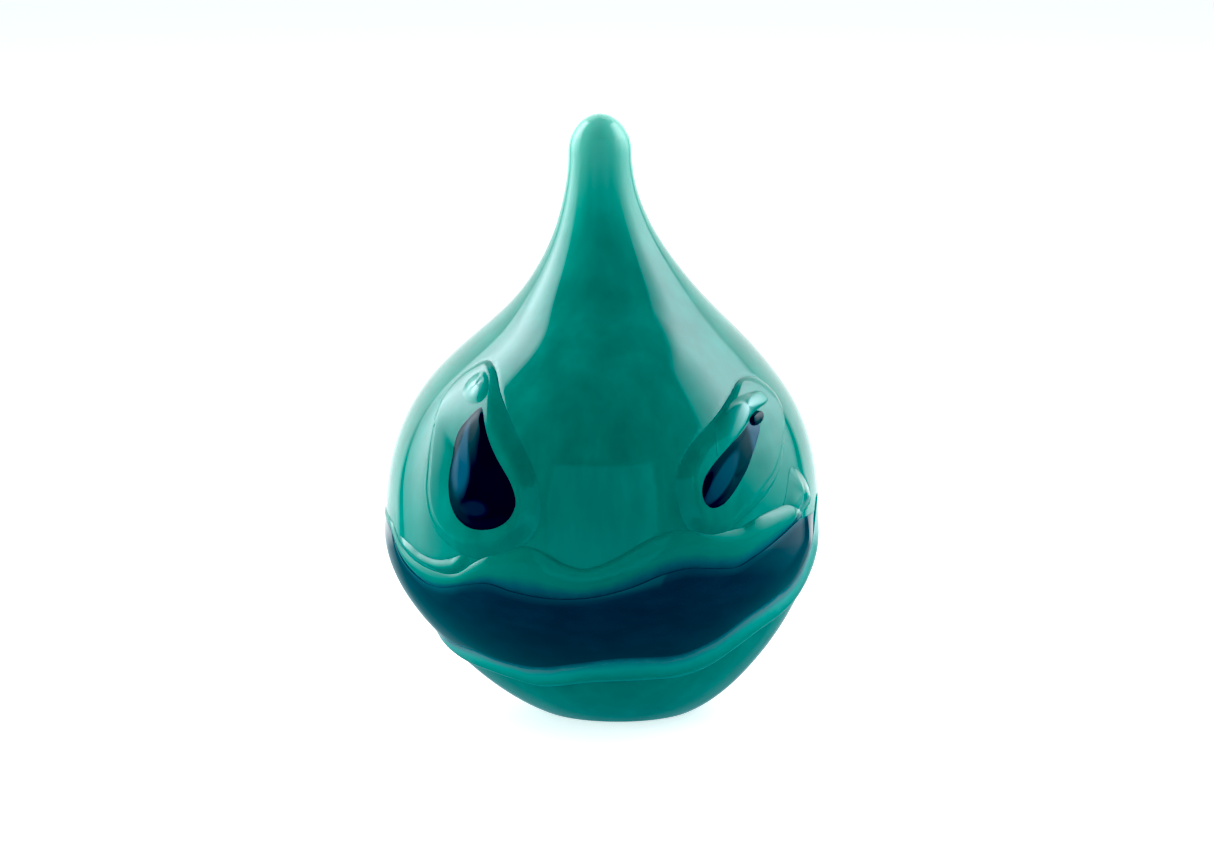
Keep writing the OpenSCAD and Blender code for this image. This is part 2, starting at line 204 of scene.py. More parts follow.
class Mound:
    """A blob of glass with a closed outline: where a point lies in it, and how far it stands out there.

    crown is its height in mm, shoulder how far its rounded rim reaches in, sink how deep it lies in what is under
    it, and base the blob that it lies on, if any.
    steep is the side with the crisp edge, 1 for the right and -1 for the left, and the other side is softer by
    softer mm. groove is the depth of the furrow that the tool leaves inside the crisp edge. A flush blob has
    melted level with what it lies on all round, and fade runs one end of a blob out over its azimuths. dish is
    the depth of the hollow that the pressed middle of a blob is left with."""

    def __init__(self, mid, places, crown, shoulder, sink, base=None, steep=0, softer=0.0, groove=0.0,
                 fade=None, flush=False, dish=0.0):
        self.mid, self.outline = mid, loop(mid, places)
        self.crown, self.shoulder, self.sink, self.base = crown, shoulder, sink, base
        self.steep, self.softer, self.groove = steep, softer, groove
        self.fade, self.flush, self.dish = fade, flush, dish
        x, y = self.outline[:, 0] * MM_A_DEGREE, self.outline[:, 1]
        order = np.argsort(np.arctan2(y, x))
        self.angle, self.reach = np.arctan2(y, x)[order], np.hypot(x, y)[order]

    def inside(self, az, z):
        """0 at the middle and 1 at the rim, and the rim's distance from the middle in mm."""
        x, y = (np.asarray(az) - self.mid[0]) * MM_A_DEGREE, np.asarray(z) - self.mid[1]
        rim = np.interp(np.arctan2(y, x), self.angle, self.reach, period=2 * math.pi)
        return np.hypot(x, y) / rim, rim

    def height(self, az, z):
        """Height over what it lies on: round at the rim over a shoulder's width, then gently crowned."""
        furrow_in, furrow_wide = 1.35, 0.3
        f, rim = self.inside(az, z)
        f = np.minimum(f, 1)
        up = z - self.mid[1]
        soft = 0.5 - 0.5 * self.steep * np.cos(np.arctan2(up, (az - self.mid[0]) * MM_A_DEGREE))
        soft = step(soft, 0.2, 0.8) if self.steep else float(self.flush)
        d = (1 - f) * rim
        rise = np.clip(d / (self.shoulder + self.softer * soft), 0, 1)
        crisp, eased = np.sqrt(np.maximum(1 - (1 - rise) ** 2, 0)), step(rise, 0, 1)
        dome = 0.2 if self.dish else 0.38
        tall = self.crown * ((1 - dome) * (crisp * (1 - soft) + eased * soft) + dome * (1 - f * f))
        tall = tall - self.dish * (1 - f * f) ** 2
        # The furrow dies away towards the blob's top, where the glass was drawn off
        furrow = self.groove * (1 - soft) * (1 - step(up, 3, 9))
        tall = tall - furrow * np.exp(-((d - furrow_in) / furrow_wide) ** 2)
        if self.fade:
            tall = tall * step(az, *self.fade)
        if self.dish:
            tall = tall * (1 - 0.55 * step(up, 4, 11))
        return tall

    def out(self, az, z):
        """Height over the drop, with the blobs underneath."""
        f, _ = self.inside(az, z)
        return (self.base.out(az, z) if self.base else 0.0) + np.where(f < 1, self.height(az, z), 0.0)


LEFT_PAD = Mound(
    (-38.5, 37.5), [(-54.5, 50.6), (-60.2, 48.9), (-61.4, 46.2), (-57.6, 41.9), (-54.8, 36.7), (-53.2, 33.2),
    (-49.5, 29.5), (-43, 26.9), (-35.7, 25.8), (-28.3, 26.1), (-21.4, 27.7), (-17, 30.3), (-16, 33.3),
    (-17.9, 37.3), (-23, 41.1), (-30.5, 44.9), (-37.7, 47.6), (-43, 49.3), (-48.8, 50.4)],
    1.35, 1.9, 1.0, steep=-1, softer=1.0, groove=0.24, dish=0.85)
RIGHT_PAD = Mound(
    (41, 38), [(63, 48.1), (67.6, 46.3), (66.4, 43.9), (61.6, 40.9), (57.8, 38.4), (53.2, 35.7), (47.2, 33.4),
    (41.7, 31.7), (35.9, 30), (31, 28.8), (25.8, 29), (21.9, 30.7), (20, 33.2), (19.3, 35.6), (19.9, 37.6),
    (22.5, 39.9), (27.3, 42.1), (36.2, 44.6), (45.6, 46.9), (53.8, 48.3)],
    1.3, 1.9, 1.0, steep=1, softer=0.8, groove=0.22, dish=0.95)
LEFT_PUPIL = Mound(
    (-34, 36), [(-40.9, 45.1), (-43.4, 43.7), (-45.1, 42.3), (-45.4, 40.7), (-44.7, 38.9), (-44.4, 36.9),
    (-43.8, 35), (-42.3, 32.9), (-39.6, 31.1), (-35.6, 30), (-31.1, 29.9), (-26.8, 30.5), (-23.6, 31.8),
    (-22.2, 33.6), (-22.9, 35.2), (-24.9, 36.8), (-27.6, 38.3), (-30.5, 39.8), (-33.5, 41.5), (-36.6, 43.4),
    (-38.9, 44.7)], 0.18, 1.8, 0.7, LEFT_PAD, flush=True)
RIGHT_PUPIL = Mound(
    (36, 37), [(48.8, 43), (50.4, 42.3), (47.6, 40.6), (44.6, 39), (41.8, 37.4), (38.7, 35.9), (35.2, 34.3),
    (32, 33.2), (28.8, 32.9), (26.6, 33.7), (26, 35.3), (27.5, 37.1), (31.5, 38.9), (37.3, 40.7), (42.6, 42),
    (46.6, 43)], 0.18, 1.6, 0.7, RIGHT_PAD, flush=True)
PUPIL_DOT = Mound(
    (50.2, 43.2), [(53.6, 43.7), (52.4, 42.9), (50, 42.5), (47, 42.5), (46.9, 43.3), (49.2, 43.9),
    (51.7, 44.1)], 0.5, 0.8, 0.6, RIGHT_PAD)
RIGHT_CURL = Mound(
    (46.5, 44.6), [(58.7, 44.8), (59.8, 45.6), (57.9, 46.3), (53.3, 46.4), (47.4, 46.2), (43.3, 45.8),
    (39.8, 45.2), (35.3, 43.8), (32.5, 41.8), (31.8, 39.5), (34.9, 40), (38.4, 41), (43.8, 42.4),
    (48.3, 43.6), (53, 44.3)], 0.9, 1.7, 0.9, RIGHT_PAD, fade=(31, 46), flush=True)
LEFT_CURL = Mound(
    (-47, 47.4), [(-49, 49.3), (-52.2, 48.7), (-53.4, 47.6), (-51.8, 46.4), (-47.8, 45.5), (-44, 45.3),
    (-41, 45.8), (-40.6, 46.7), (-42.4, 47.8), (-45.4, 48.8)], 0.42, 2.4, 0.9, LEFT_PAD, flush=True)
KNOB = Mound(
    (64, 32.3), [(62.3, 36.2), (66.8, 35), (70.9, 33.2), (72.9, 31.3), (68.9, 30.2), (62, 29.4), (56.8, 29),
    (54.6, 30.3), (56, 32.2), (58.2, 34.2), (60, 35.5)], 0.8, 3.2, 1.0, flush=True)


# ---- modelling helpers ----

def clear_selection():
    """The frame's own solids are selected after loading, and an operator acts on all that is selected."""
    if bpy.context.object and bpy.context.object.mode != "OBJECT":
        bpy.ops.object.mode_set(mode="OBJECT")
    bpy.ops.object.select_all(action="DESELECT")


def points(piece):
    """A mesh's points as an array."""
    mesh = piece.data
    co = np.empty(len(mesh.vertices) * 3)
    mesh.vertices.foreach_get("co", co)
    return co.reshape(-1, 3)


def place(piece, co):
    """Moves a mesh's points to new places."""
    piece.data.vertices.foreach_set("co", np.ascontiguousarray(co, dtype=float).ravel())
    piece.data.update()


def remember(piece, name, values):
    """Keeps a value per point, for a pattern that follows the surface."""
    layer = piece.data.attributes.new(name, "FLOAT", "POINT")
    layer.data.foreach_set("value", np.ascontiguousarray(values, dtype=float))


def apply_modifier(piece, kind, **settings):
    """Adds a modifier with its settings and applies it."""
    bpy.context.view_layer.objects.active = piece
    mod = piece.modifiers.new(kind.title(), kind)
    for key, value in settings.items():
        setattr(mod, key, value)
    bpy.ops.object.modifier_apply(modifier=mod.name)


def finish_piece(piece, name, material, node):
    """Names a piece, turns its faces outwards, gives it its glass and ties it to the frame."""
    clear_selection()
    piece.name = piece.data.name = name
    piece.select_set(True)
    bpy.context.view_layer.objects.active = piece
    bpy.ops.object.mode_set(mode="EDIT")
    bpy.ops.mesh.select_all(action="SELECT")
    bpy.ops.mesh.normals_make_consistent(inside=False)
    bpy.ops.object.mode_set(mode="OBJECT")
    bpy.ops.object.shade_smooth_by_angle(angle=SHARP)
    piece.data.materials.clear()
    piece.data.materials.append(material)
    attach(piece, "root")
    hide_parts(node)
    clear_selection()


def slab(shape, across, along=0):
    """A flat sheet of unit size and thickness, ready to be laid: a disc of rings or a grid."""
    clear_selection()
    if shape == "disc":
        bpy.ops.mesh.primitive_circle_add(vertices=across, radius=1, fill_type="NGON")
        bpy.ops.object.mode_set(mode="EDIT")
        bpy.ops.mesh.select_mode(type="FACE")
        bpy.ops.mesh.select_all(action="SELECT")
        for _ in range(along - 1):
            bpy.ops.mesh.inset(thickness=1 / along)
        bpy.ops.mesh.poke()
        bpy.ops.object.mode_set(mode="OBJECT")
    else:
        bpy.ops.mesh.primitive_grid_add(x_subdivisions=along, y_subdivisions=across, size=2)
    piece = bpy.context.object
    apply_modifier(piece, "SOLIDIFY", thickness=1.0, offset=0.0)
    return piece


def run_out(az, span, over):
    """1 along a trail, falling to 0 over that many degrees at either end."""
    return step(np.minimum(az - span[0], span[1] - az), 0, over)


def plain_tone(az, t):
    """A trail's colour changes evenly from its lower edge to its upper one."""
    return t


def lay_trail(low, high, span, roll, sink, along, across, tone=plain_tone):
    """A ribbon of glass between two edges. At an azimuth and a share t of the way up it, roll is its height
    over the drop and tone its place in its colours."""
    piece = slab("grid", across, along)
    u, v, w = points(piece).T
    az = span[0] + (span[1] - span[0]) * (u + 1) / 2
    t = (v + 1) / 2
    z = low(az) + (high(az) - low(az)) * t
    out = np.where(w > 0, roll(az, t), -sink)
    place(piece, on_drop(az, z, out))
    remember(piece, "across", tone(az, t))
    return piece


def lay_mound(mound, rings=26, around=120, veil=None):
    """A blob laid inside its outline, on the drop or on the blob under it; the last argument, a function of (az,
    z), gives the share of painted reflection in its colour, and without it the share is greatest in the blob's
    middle, a painted highlight.
    """
    thin, tucked = 0.012, -0.04  # its least height in mm, and that of its rim, which dips out of sight
    piece = slab("disc", around, rings)
    x, y, w = points(piece).T
    f = np.minimum(np.hypot(x, y), 1.0)
    a = np.mod(np.arctan2(x, y), 2 * math.pi) / (2 * math.pi) * len(mound.outline)
    closed = np.vstack([mound.outline, mound.outline[:1]])
    at = np.arange(len(closed))
    edge = np.stack([np.interp(a, at, closed[:, 0]), np.interp(a, at, closed[:, 1])], axis=1)
    f_eased = 1 - (1 - f) ** 1.35
    az = mound.mid[0] + f_eased * edge[:, 0]
    z = mound.mid[1] + f_eased * edge[:, 1]
    under = mound.base.out(az, z) if mound.base else 0.0
    top = under + np.where(f > 0.995, tucked, np.maximum(mound.height(az, z), thin))
    bottom = under - mound.sink * (0.4 + 0.6 * np.sqrt(np.maximum(1 - f_eased ** 3, 0)))
    place(piece, on_drop(az, z, np.where(w > 0, top, bottom)))
    # Each point keeps its share of painted reflection, which the pupils' and curls' glass mixes in
    remember(piece, "veil", veil(az, z) if veil else 1 - f_eased)
    return piece


# ---- glass ----

def add(tree, kind, settings=None, links=None, stops=()):
    """Adds a node with its settings, socket values, the sockets that feed it and a colour ramp's stops."""
    made = tree.nodes.new(kind)
    for key, value in (settings or {}).items():
        if isinstance(key, int) or key in made.inputs:
            made.inputs[key].default_value = value
        else:
            setattr(made, key, value)
    for key, source in (links or {}).items():
        tree.links.new(source, made.inputs[key])
    if stops:
        marks = made.color_ramp.elements
        while len(marks) > 1:
            marks.remove(marks[0])
        marks[0].position, marks[0].color = stops[0]
        for position, colour in stops[1:]:
            marks.new(position).color = colour
    return made


def new_material(name):
    """An empty material, and its node tree to fill."""
    material = bpy.data.materials.new(name)
    material.use_nodes = True
    tree = material.node_tree
    tree.nodes.clear()
    return material, tree


def drawn_streaks(tree, stretch, scale):
    """Soft streaks of drawn glass. scale counts them in a metre; a stretch under 1 runs them up the drop, and one
    over 1 runs them round it."""
    where = add(tree, "ShaderNodeTexCoord").outputs["Object"]
    laid = add(tree, "ShaderNodeMapping", {"Scale": (1.0, 1.0, stretch)}, {"Vector": where})
    return add(tree, "ShaderNodeTexNoise", {"Scale": scale, "Detail": 3.0, "Roughness": 0.55},
               {"Vector": laid.outputs["Vector"]}).outputs["Fac"]


def shade(tree, colour, scatter=0.35, ior=1.52):
    """Fire-polished opaque glass: a sharp dielectric gloss over colour that light enters a little way."""
    where = add(tree, "ShaderNodeTexCoord").outputs["Object"]
    # Fire polishing leaves a faint, slow waviness: 140 waves in a metre, so one in about 7 mm
    waves = add(tree, "ShaderNodeTexNoise", {"Scale": 140.0, "Detail": 1.0}, {"Vector": where})
    bump = add(tree, "ShaderNodeBump", {"Strength": 0.05, "Distance": 0.0002}, {"Height": waves.outputs["Fac"]})
    body = add(tree, "ShaderNodeBsdfPrincipled",
               {"Roughness": 0.035, "IOR": ior, "Subsurface Weight": scatter,
                "Subsurface Scale": 2.5 * MM, "Subsurface Radius": (0.1, 1.0, 0.8)},
               {"Base Color": colour, "Normal": bump.outputs["Normal"]})
    add(tree, "ShaderNodeOutputMaterial", links={"Surface": body.outputs["BSDF"]})


def teal_glass(palette):
    """Opaque teal soda-lime glass, gathered and drawn: slow streaks run from the belly up into the tip."""
    material, tree = new_material("teal opaque soda-lime glass, drawn and fire polished")
    streaks = drawn_streaks(tree, 0.22, 260.0)
    colour = add(tree, "ShaderNodeValToRGB", links={"Fac": streaks}, stops=[
        (0.3, palette["deep"]), (0.55, palette["teal"]), (0.75, palette["lit"])]).outputs["Color"]
    # Painted light: towards the tip, where the glass is drawn thin, the colour is painted paler for the light
    # that comes through it, and a little paler at its foot for light from the table below
    where = add(tree, "ShaderNodeTexCoord").outputs["Object"]
    height = add(tree, "ShaderNodeSeparateXYZ", links={"Vector": where})
    share = add(tree, "ShaderNodeMath", {"operation": "DIVIDE", 1: TALL * MM}, {0: height.outputs["Z"]})
    pale = add(tree, "ShaderNodeValToRGB", links={"Fac": share.outputs["Value"]}, stops=[
        (0.0, grey(0.14)), (0.15, BLACK), (0.72, BLACK), (0.8, grey(0.12)), (0.9, grey(0.42)),
        (1.0, grey(0.78))]).outputs["Color"]
    mixed = add(tree, "ShaderNodeMix", {"data_type": "RGBA", 7: palette["tip"]}, {0: pale, 6: colour})
    shade(tree, mixed.outputs[2])
    return material


def lip_glass(name, *stops):
    """Teal trail glass that thins over the navy band; stops are its colours from its foot to its head."""
    material, tree = new_material(name)
    across = add(tree, "ShaderNodeAttribute", {"attribute_name": "across"}).outputs["Fac"]
    streaks = drawn_streaks(tree, 0.5, 420.0)
    wobble = add(tree, "ShaderNodeMath", {"operation": "MULTIPLY_ADD", 1: 0.16, 2: -0.08}, {0: streaks})
    moved = add(tree, "ShaderNodeMath", {"operation": "ADD"}, {0: across, 1: wobble.outputs["Value"]})
    colour = add(tree, "ShaderNodeValToRGB", links={"Fac": moved.outputs["Value"]}, stops=stops)
    shade(tree, colour.outputs["Color"])
    return material


def upper_lip_glass(palette):
    """The upper lip greys at its foot, where it runs out over the band."""
    return lip_glass("teal trail glass, thinning over navy at its foot", (0.0, palette["seam"]),
                     (0.16, palette["fringe"]), (0.4, palette["teal"]), (1.0, palette["teal"]))


def lower_lip_glass(palette):
    """The lower lip is painted lighter along the ridge near its foot, a painted highlight, and greys at its head,
    where it meets the band.
    """
    return lip_glass("teal trail glass, thinning over navy at its head", (0.0, palette["teal"]),
                     (0.1, palette["ridge"]), (0.24, palette["lit"]), (0.6, palette["ridge"]),
                     (0.84, palette["pale"]), (1.0, palette["fringe"]))


def navy_glass(palette):
    """Opaque navy glass: nearly black in the middle of the band, with a thin grey-teal edge where it fused."""
    material, tree = new_material("navy opaque soda-lime glass, fused trail")
    across = add(tree, "ShaderNodeAttribute", {"attribute_name": "across"}).outputs["Fac"]
    streaks = drawn_streaks(tree, 2.2, 180.0)
    deep = add(tree, "ShaderNodeValToRGB", links={"Fac": streaks}, stops=[
        (0.35, palette["navy"]), (0.7, palette["navy_lit"])]).outputs["Color"]
    edge = add(tree, "ShaderNodeValToRGB", links={"Fac": across}, stops=[
        (0.0, WHITE), (0.02, BLACK), (0.9, BLACK), (1.0, grey(0.4))]).outputs["Color"]
    colour = add(tree, "ShaderNodeMix", {"data_type": "RGBA", 7: palette["fringe"]}, {0: edge, 6: deep})
    shade(tree, colour.outputs[2], scatter=0.0)
    return material


def ink_glass(palette):
    """Black glass with slate-blue painted reflections of the softbox mixed into it, by each point's share."""
    material, tree = new_material("blue-black opaque glass with a slate veil, fire polished")
    streaks = drawn_streaks(tree, 1.0, 200.0)
    deep = add(tree, "ShaderNodeValToRGB", links={"Fac": streaks}, stops=[
        (0.4, palette["ink"]), (0.8, palette["ink_lit"])]).outputs["Color"]
    veil = add(tree, "ShaderNodeAttribute", {"attribute_name": "veil"}).outputs["Fac"]
    mixed = add(tree, "ShaderNodeMix", {"data_type": "RGBA", 7: palette["slate"]}, {0: veil, 6: deep})
    # Glass has an index near 1.5; a lower one keeps the lamps faint in the pressed pupils
    shade(tree, mixed.outputs[2], scatter=0.0, ior=1.34)
    return material


def curl_glass(palette):
    """Teal glass painted pale towards its middle, a painted highlight where it is pinched up, and the pad's own
    colour at its edge.
    """
    material, tree = new_material("milky teal soda-lime glass, pinched up hot")
    veil = add(tree, "ShaderNodeAttribute", {"attribute_name": "veil"}).outputs["Fac"]
    shade(tree, add(tree, "ShaderNodeValToRGB", links={"Fac": veil}, stops=[
        (0.0, palette["teal"]), (0.3, palette["lit"]), (1.0, palette["milky"])]).outputs["Color"])
    return material


# ---- what a user may change ----

class DropSizes(bpy.types.PropertyGroup):
    facets: bpy.props.IntProperty(
        name="Steps round the drop", description="Spin steps before the drop is subdivided", default=96, min=32,
        max=120)


class DropColours(bpy.types.PropertyGroup):
    deep: bpy.props.FloatVectorProperty(
        name="Deep teal", description="The drop where its glass is thickest", size=4, subtype="COLOR",
        default=linear("#007E6D"))
    teal: bpy.props.FloatVectorProperty(
        name="Teal", description="The drop's own colour", size=4, subtype="COLOR", default=linear("#008977"))
    # Lit teal: the drop's lightest streaks, and also part of the painted highlights on the lower lip's ridge and
    # in the curls
    lit: bpy.props.FloatVectorProperty(
        name="Lit teal", description="The lightest streaks in the drop", size=4, subtype="COLOR",
        default=linear("#069482"))
    # Painted glow: the tip colour stands in for light passing through the thin glass
    tip: bpy.props.FloatVectorProperty(
        name="Tip teal", description="The drop where it is drawn thin and light passes through", size=4,
        subtype="COLOR", default=linear("#88DCC6"))
    pale: bpy.props.FloatVectorProperty(
        name="Pale teal", description="The lower lip where it thins", size=4, subtype="COLOR",
        default=linear("#6A8C92"))
    # Painted highlight: the pale middle of each curl
    milky: bpy.props.FloatVectorProperty(
        name="Milky teal", description="The middle of a curl", size=4, subtype="COLOR", default=linear("#96CCC8"))
    # Painted highlight: the lighter teal along the lower lip's ridge
    ridge: bpy.props.FloatVectorProperty(
        name="Ridge", description="The lower lip along its outer edge", size=4, subtype="COLOR",
        default=linear("#48AEA2"))
    # Painted reflection: slate mixed into the pupils where the softbox shows in them
    slate: bpy.props.FloatVectorProperty(
        name="Slate", description="The veil in the pupils", size=4, subtype="COLOR", default=linear("#34566E"))
    fringe: bpy.props.FloatVectorProperty(
        name="Fringe", description="Grey-teal where a lip thins over the band", size=4, subtype="COLOR",
        default=linear("#0E5E6E"))
    seam: bpy.props.FloatVectorProperty(
        name="Seam", description="Where the upper lip thins out on the band", size=4, subtype="COLOR",
        default=linear("#064252"))
    navy: bpy.props.FloatVectorProperty(
        name="Navy", description="The mouth band", size=4, subtype="COLOR", default=linear("#001C2E"))
    navy_lit: bpy.props.FloatVectorProperty(
        name="Lit navy", description="Streaks in the mouth band", size=4, subtype="COLOR",
        default=linear("#03283C"))
    ink: bpy.props.FloatVectorProperty(
        name="Ink", description="The pupils", size=4, subtype="COLOR", default=linear("#00040C"))
    ink_lit: bpy.props.FloatVectorProperty(
        name="Lit ink", description="The pupils' blue cast", size=4, subtype="COLOR", default=linear("#020A18"))


def palette():
    """The chosen colours by name."""
    chosen = bpy.context.scene.glass_colours
    return {key: tuple(getattr(chosen, key)) for key in DropColours.__annotations__}


MAKERS = {"teal": teal_glass, "navy": navy_glass, "ink": ink_glass, "curl": curl_glass,
          "upper": upper_lip_glass, "lower": lower_lip_glass}
GLASS = {}


def glass(kind):
    """One material of each kind, made when it is first wanted."""
    if kind not in GLASS:
        GLASS[kind] = MAKERS[kind](palette())
    return GLASS[kind]


# ---- operators: one for each piece or group of like pieces ----

class GLASSDROP_OT_core(bpy.types.Operator):
    """Spin the drop, lean it and sink the beds that the other pieces lie in"""
    bl_idname = "glass_drop.core"
    bl_label = "Drop"

    def execute(self, context):
        clear_selection()
        sizes = context.scene.glass_sizes
        bpy.ops.mesh.primitive_plane_add(size=2 * MM)
        piece = context.object
        bpy.ops.object.mode_set(mode="EDIT")
        bpy.ops.mesh.select_all(action="SELECT")
        bpy.ops.mesh.merge(type="CENTER")
        # Two more rings on the ground flat keep it level when the drop is subdivided
        outline = [(0.0, 0.0), (5.5, 0.0), (10.4, 0.0)] + [tuple(p) for p in drop_profile(15)]
        outline[-1] = (0.0, TALL)
        here = (0.0, 0.0)
        for r, z in outline[1:]:
            bpy.ops.mesh.extrude_region_move(
                TRANSFORM_OT_translate={"value": ((r - here[0]) * MM, 0, (z - here[1]) * MM)})
            here = (r, z)
        bpy.ops.mesh.select_all(action="SELECT")
        bpy.ops.mesh.spin(steps=sizes.facets, angle=2 * math.pi, center=(0, 0, 0), axis=(0, 0, 1))
        bpy.ops.mesh.select_all(action="SELECT")
        bpy.ops.mesh.remove_doubles(threshold=0.00002)
        bpy.ops.mesh.normals_make_consistent(inside=False)
        bpy.ops.object.mode_set(mode="OBJECT")
        apply_modifier(piece, "SUBSURF", levels=2, render_levels=2)
        co = points(piece) / MM
        z = np.clip(co[:, 2], 0, TALL)
        r = np.hypot(co[:, 0], co[:, 1])
        az = np.degrees(np.arctan2(co[:, 0], -co[:, 1]))
        # The side is trued to the outline; the ground flat and the rounded tip only lean with it
        side = (z > 0.02) & (z < 80)
        trued = on_drop(az, z, -self.beds(az, z))
        leaned = np.stack([co[:, 0] + LEAN(z), co[:, 1], z], axis=1) * MM
        place(piece, np.where(side[:, None], trued, leaned))
        finish_piece(piece, "core_glass", glass("teal"), "core_drop")
        return {"FINISHED"}

    @staticmethod
    def beds(az, z):
        """Depth of the beds under the laid pieces, which starts just inside each one's edge."""
        deep, near, far = 0.5, 0.3, 0.9  # mm down, and mm in from an edge where a bed starts and is at its depth
        depth = np.zeros_like(z)
        for low, high, (start, end) in ((BAND_FOOT, BAND_TOP, BAND_SPAN), (LOWER_CREASE, LOWER_INNER, LOWER_SPAN),
                                        (BAND_TOP, UPPER_CREASE, UPPER_SPAN), (BEAD_FOOT, BEAD_TOP, BEAD_SPAN)):
            room = np.minimum(np.minimum(z - low(az), high(az) - z),
                              np.minimum(az - start, end - az) * MM_A_DEGREE)
            depth = np.maximum(depth, deep * step(room, near, far))
        for mound in (LEFT_PAD, RIGHT_PAD, KNOB):
            f, rim = mound.inside(az, z)
            depth = np.maximum(depth, deep * step((1 - f) * rim, near, far))
        return depth


RUN = 9  # degrees over which the band and lips run out at their ends
DIP = 0.02  # mm by which a trail's edges dip under the drop's surface


def band_roll(az, t):
    """The band is a low, even roll."""
    run = run_out(az, BAND_SPAN, RUN)
    return 0.12 + 0.4 * run * np.sin(np.pi * t) ** 0.8 - 0.12 * (1 - run)


def upper_roll(az, t):
    """The upper lip is a roll that thickens step by step to the right."""
    crown = 0.3 + 0.25 * step(az, -45, -30) + 0.45 * step(az, 15, 45)
    return run_out(az, UPPER_SPAN, RUN) * (0.04 * (1 - t) + crown * np.sin(np.pi * t ** 1.3) ** 0.8) - DIP


def lower_roll(az, t):
    """The lower lip is a ridge near its foot that falls away towards the band."""
    ridge = 0.52 * np.sqrt(1 - (1 - np.clip(t / 0.22, 0, 1)) ** 2)
    return run_out(az, LOWER_SPAN, RUN) * (ridge - 0.36 * step(t, 0.22, 0.9)) - DIP


def lower_tone(az, t):
    """Past the band's end nothing dark lies under the lip, and it keeps its own teal to its edge."""
    return t * (1 - 0.6 * step(az, 68, 80))


def bead_roll(az, t):
    """The bead is a roll with pointed ends."""
    return 0.5 * np.sin(np.pi * t) ** 1.2 * run_out(az, BEAD_SPAN, 6) - DIP


class GLASSDROP_OT_mouth(bpy.types.Operator):
    """Lay the navy band and the two lips that close over its edges"""
    bl_idname = "glass_drop.mouth"
    bl_label = "Mouth band and lips"

    def execute(self, context):
        band = lay_trail(BAND_FOOT, BAND_TOP, BAND_SPAN, band_roll, 1.6, 360, 40)
        finish_piece(band, "mouth_band_glass", glass("navy"), "mouth_band")
        upper = lay_trail(BAND_TOP, UPPER_CREASE, UPPER_SPAN, upper_roll, 1.2, 360, 36)
        finish_piece(upper, "upper_lip_glass", glass("upper"), "upper_lip")
        lower = lay_trail(LOWER_CREASE, LOWER_INNER, LOWER_SPAN, lower_roll, 1.2, 380, 30, lower_tone)
        finish_piece(lower, "lower_lip_glass", glass("lower"), "lower_lip")
        return {"FINISHED"}


class GLASSDROP_OT_eye_pads(bpy.types.Operator):
    """Lay the two teal mounds that the pupils sit on"""
    bl_idname = "glass_drop.eye_pads"
    bl_label = "Eye pads"

    def execute(self, context):
        for mound, name, node in ((LEFT_PAD, "left_eye_pad_glass", "left_eye_pad"),
                                  (RIGHT_PAD, "right_eye_pad_glass", "right_eye_pad")):
            finish_piece(lay_mound(mound, 34, 160), name, glass("teal"), node)
        return {"FINISHED"}


def painted_reflection_oval(x, y, low=0.6, high=1.1):
    """1 in the middle of an oval patch of painted reflection, falling to 0 between two shares of its radius."""
    return 1 - step(np.hypot(x, y), low, high)


def left_painted_reflection(az, z):
    """A long slate drop down the left pupil's outer side, with a short one under it: painted reflections of the
    softbox.
    """
    return np.maximum(
        painted_reflection_oval((az + 40.2 + 0.3 * (z - 36)) / (1.5 + 2.3 * step(42 - z, 0, 6)), (z - 38.6) / 5.2),
        0.2 * painted_reflection_oval((az + 34.2) / 4.5, (z - 32.6) / 1.2))


def right_painted_reflection(az, z):
    """A slate oval inside a black rim, with the thread that runs up from it: painted reflections of the softbox.
    """
    return np.maximum(
        0.55 * painted_reflection_oval((az - 33.0) / 7.4, (z - 36.6 - 0.43 * (az - 33.0)) / 1.7, 0.72, 1.0),
        0.9 * step(az, 44.0, 46.0))


def no_painted_reflection(az, z):
    """The dot is black all through, with no painted reflection."""
    return 0 * z


class GLASSDROP_OT_pupils(bpy.types.Operator):
    """Lay the two blue-black teardrops and the dot at the end of the right one's thread"""
    bl_idname = "glass_drop.pupils"
    bl_label = "Pupils"

    def execute(self, context):
        for mound, name, node, veil in (
                (LEFT_PUPIL, "left_pupil_glass", "left_pupil", left_painted_reflection),
                (RIGHT_PUPIL, "right_pupil_glass", "right_pupil", right_painted_reflection),
                (PUPIL_DOT, "right_pupil_dot_glass", "right_pupil_dot", no_painted_reflection)):
            finish_piece(lay_mound(mound, 30, 144, veil), name, glass("ink"), node)
        return {"FINISHED"}


class GLASSDROP_OT_curls(bpy.types.Operator):
    """Draw the curl over the right eye and the nub at the top of the left one"""
    bl_idname = "glass_drop.curls"
    bl_label = "Curls"

    def execute(self, context):
        for mound, name, node in ((LEFT_CURL, "left_eye_curl_glass", "left_eye_curl"),
                                  (RIGHT_CURL, "right_eye_curl_glass", "right_eye_curl")):
            # Each curl takes the default share of painted reflection, a painted highlight greatest in its middle
            finish_piece(lay_mound(mound), name, glass("curl"), node)
        return {"FINISHED"}


class GLASSDROP_OT_corners(bpy.types.Operator):
    """Lay the knob and the leaf-shaped bead at the corners of the mouth"""
    bl_idname = "glass_drop.corners"
    bl_label = "Mouth corners"

    def execute(self, context):
        finish_piece(lay_mound(KNOB), "right_mouth_knob_glass", glass("teal"), "right_mouth_knob")
        bead = lay_trail(BEAD_FOOT, BEAD_TOP, BEAD_SPAN, bead_roll, 0.8, 90, 24)
        finish_piece(bead, "left_mouth_bead_glass", glass("teal"), "left_mouth_bead")
        return {"FINISHED"}


# ---- the studio ----

